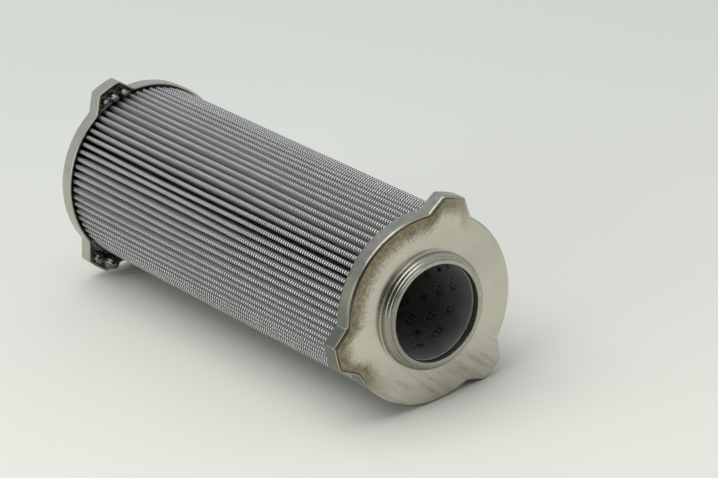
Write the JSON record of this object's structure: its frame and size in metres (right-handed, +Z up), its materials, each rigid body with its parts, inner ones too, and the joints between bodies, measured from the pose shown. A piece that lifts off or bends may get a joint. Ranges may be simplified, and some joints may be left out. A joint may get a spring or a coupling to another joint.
{
  "type": "pleated hydraulic filter element",
  "caption": "Cylindrical filter cartridge with a pleated wire-mesh pack, a perforated core tube and two lobed steel end caps; one cap has a drawn neck with a seal groove, the other is closed.",
  "frame": {"origin": "centre of the outlet neck's mouth, on the element's axis", "axes": "+X along the axis, out of the outlet; +Z up, with the element lying on its side on the round edges of both caps and on one lobe of the outlet cap"},
  "size_m": [0.182, 0.0787, 0.0728],
  "materials": {
    "cap_steel": "satin zinc plating with brown staining",
    "tube_steel": "dull plated",
    "wire_mesh": "fine plain weave",
    "fleece": "matt",
    "glass_fibre": "matt",
    "resin": "glossy",
    "seal_rubber": "semi-matt"
  },
  "bodies": {
    "root": {"outlet_end_cap": "cap_steel", "closed_end_cap": "cap_steel", "neck_seal_ring": "seal_rubber", "core_tube": "tube_steel", "outer_support_mesh": "wire_mesh", "outer_fleece": "fleece", "filter_media": "glass_fibre", "inner_fleece": "fleece", "inner_support_mesh": "wire_mesh", "outlet_end_resin": "resin", "closed_end_resin": "resin"}
  },
  "joints": []
}
